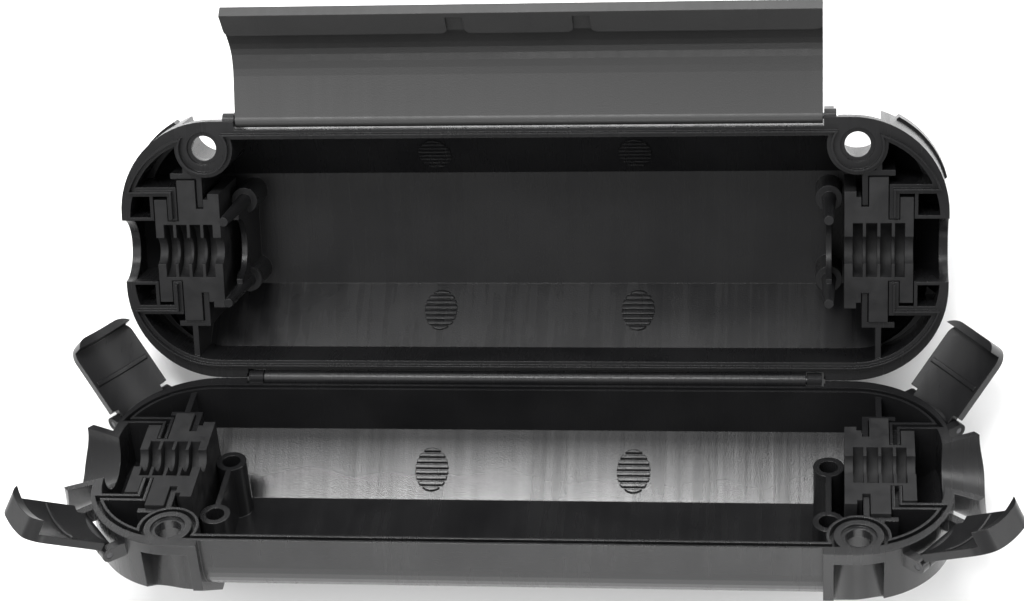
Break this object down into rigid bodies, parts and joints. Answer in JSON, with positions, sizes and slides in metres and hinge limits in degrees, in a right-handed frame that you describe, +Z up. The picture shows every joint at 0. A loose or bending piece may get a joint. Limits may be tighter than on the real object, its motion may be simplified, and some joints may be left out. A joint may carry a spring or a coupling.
{
  "type": "extension cord safety cover",
  "caption": "Long two-half weatherproof box for a joined pair of cords, with a hinged lid, front flap, corner clips and finned cord seals.",
  "frame": {"origin": "middle of the resting part's bounding box, at floor level", "axes": "+Z up, +X along the box to the right-hand cord entry, -Y to the front, where the base half leans up"},
  "size_m": [0.2768, 0.1598, 0.0885],
  "materials": {
    "shell_plastic": "satin",
    "flap_plastic": "satin",
    "clip_plastic": "satin",
    "seal_rubber": "matt",
    "pin_steel": "brushed"
  },
  "bodies": {
    "base": {"base_shell": "shell_plastic", "lid_hinge_pin": "pin_steel", "base_right_seal": "seal_rubber", "base_left_seal": "seal_rubber", "back_right_clip_pin": "pin_steel", "back_left_clip_pin": "pin_steel", "front_left_clip_pin": "pin_steel", "front_right_clip_pin": "pin_steel"},
    "lid": {"lid_shell": "shell_plastic", "flap_hinge_pin": "pin_steel", "lid_right_seal": "seal_rubber", "lid_left_seal": "seal_rubber"},
    "flap": {"front_flap": "flap_plastic"},
    "back_right_clip_arm": {"back_right_clip": "clip_plastic"},
    "back_left_clip_arm": {"back_left_clip": "clip_plastic"},
    "front_left_clip_arm": {"front_left_clip": "clip_plastic"},
    "front_right_clip_arm": {"front_right_clip": "clip_plastic"}
  },
  "joints": [
    {"name": "lid_hinge", "type": "hinge", "parent": "base", "child": "lid", "pos_m": [0, -0.00689, 0.01513], "axis": [1, 0, 0], "range_deg": [0, 109.2]},
    {"name": "flap_hinge", "type": "hinge", "parent": "lid", "child": "flap", "pos_m": [0, 0.05827, 0.05775], "axis": [1, 0, 0], "range_deg": [0, 97]},
    {"name": "back_right_clip_hinge", "type": "hinge", "parent": "base", "child": "back_right_clip_arm", "pos_m": [0.11711, -0.01696, 0.01677], "axis": [0.6157, -0.6423, 0.4565], "range_deg": [0, 46]},
    {"name": "back_left_clip_hinge", "type": "hinge", "parent": "base", "child": "back_left_clip_arm", "pos_m": [-0.11711, -0.01696, 0.01677], "axis": [0.6157, 0.6423, -0.4565], "range_deg": [0, 46]},
    {"name": "front_left_clip_hinge", "type": "hinge", "parent": "base", "child": "front_left_clip_arm", "pos_m": [-0.11711, -0.06561, 0.05134], "axis": [-0.6157, 0.6423, -0.4565], "range_deg": [0, 56]},
    {"name": "front_right_clip_hinge", "type": "hinge", "parent": "base", "child": "front_right_clip_arm", "pos_m": [0.11711, -0.06561, 0.05134], "axis": [-0.6157, -0.6423, 0.4565], "range_deg": [0, 56]}
  ]
}
